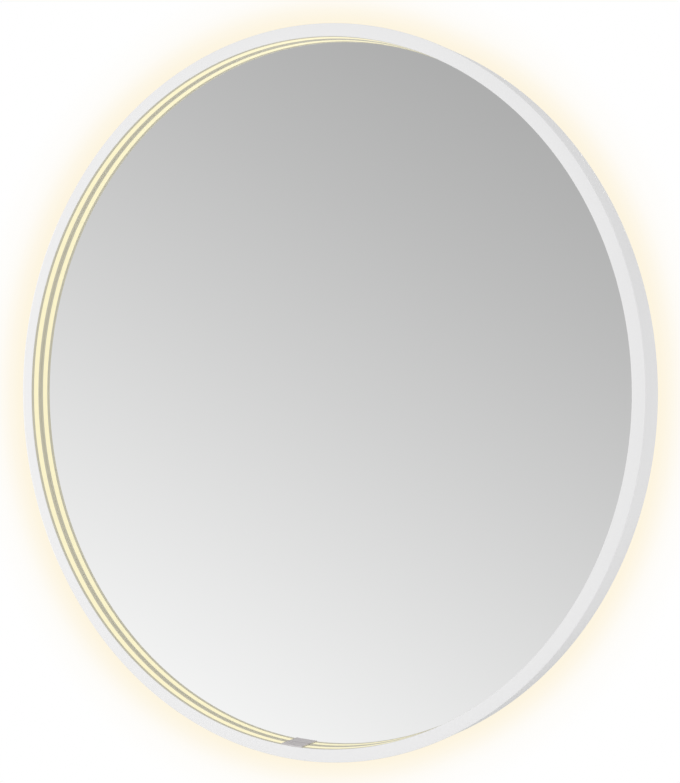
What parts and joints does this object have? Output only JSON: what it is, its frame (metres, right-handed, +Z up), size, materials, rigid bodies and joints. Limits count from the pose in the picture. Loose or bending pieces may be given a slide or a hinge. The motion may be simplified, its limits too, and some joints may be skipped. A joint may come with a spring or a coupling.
{
  "type": "lighted bathroom mirror",
  "caption": "Round wall mirror with a deep white rim, a lit band round its inner wall, a touch plate below and a backlight behind; it lifts off an angled wall rail.",
  "frame": {"origin": "centre of the wall rail's screw slots, on the wall; the mirror's own axis lies 190 mm below it", "axes": "+Z up as it hangs, +X to the right seen from the front, the mirror faces -Y and the wall is the plane Y = 0"},
  "size_m": [0.8, 0.045, 0.8],
  "materials": {
    "rim_white": "satin white powder coat",
    "opal_front": "opal diffuser, lit warm",
    "opal_back": "opal diffuser, lit warm",
    "strip_white": "white flexible board",
    "chip": "light chips under phosphor",
    "touch_grey": "satin grey",
    "mirror": "polished silvered glass",
    "moulded_black": "fine spark texture",
    "board_green": "lacquered board",
    "heater_film": "printed heating film",
    "foam": "closed-cell foam tape",
    "plate": "rolled sheet",
    "channel_aluminium": "anodised extrusion",
    "rail_aluminium": "mill-finish extrusion",
    "zinc_steel": "bright zinc plate",
    "moulded_white": "fine spark texture",
    "moulded_grey": "fine spark texture",
    "rubber_black": "matt",
    "ferrite": "ferrite core and taped winding",
    "capacitor": "sleeved cans",
    "heat_sink": "bare extrusion",
    "brass": "machined",
    "lead_white": "smooth sheath",
    "lead_black": "smooth sheath",
    "lead_earth": "green and yellow sheath"
  },
  "bodies": {
    "wall_rail": {"wall_cleat": "rail_aluminium", "rail_end_caps": "moulded_black"},
    "mirror": {"back_plate": "plate", "backlight_channel": "channel_aluminium", "backlight_chips": "chip", "backlight_diffuser": "opal_back", "backlight_lead": "lead_black", "backlight_strip": "strip_white", "cable_clips": "moulded_white", "channel_end_caps": "moulded_white", "channel_screws": "zinc_steel", "clip_screws": "zinc_steel", "demister_cover": "moulded_white", "demister_lead": "lead_white", "demister_pad": "heater_film", "driver_board": "board_green", "driver_capacitors": "capacitor", "driver_case": "moulded_white", "driver_heat_sink": "heat_sink", "driver_lid": "moulded_white", "driver_screws": "zinc_steel", "driver_transformer": "ferrite", "earth_lead": "lead_earth", "earth_screw": "brass", "earth_tag": "zinc_steel", "frame_ring": "rim_white", "front_diffuser": "opal_front", "front_light_chips": "chip", "front_light_strip": "strip_white", "gland_body": "moulded_black", "gland_cap": "moulded_black", "glass_tape": "foam", "hanger_cleat": "rail_aluminium", "hanger_screws": "zinc_steel", "junction_box": "moulded_white", "junction_box_screws": "zinc_steel", "junction_lid": "moulded_white", "junction_lid_screws": "zinc_steel", "mains_link_lead": "lead_white", "mirror_glass": "mirror", "retaining_clips": "zinc_steel", "ring_splice": "zinc_steel", "sensor_board": "board_green", "sensor_housing": "moulded_grey", "sensor_lead": "lead_black", "spacer_pads": "rubber_black", "terminal_block": "moulded_grey", "terminal_screws": "brass", "touch_plate": "touch_grey", "wall_spacers": "moulded_white"}
  },
  "joints": [
    {"name": "lift_off", "type": "slide", "parent": "wall_rail", "child": "mirror", "axis": [0, -0.7071, 0.7071], "range_m": [0, 0.06]}
  ]
}
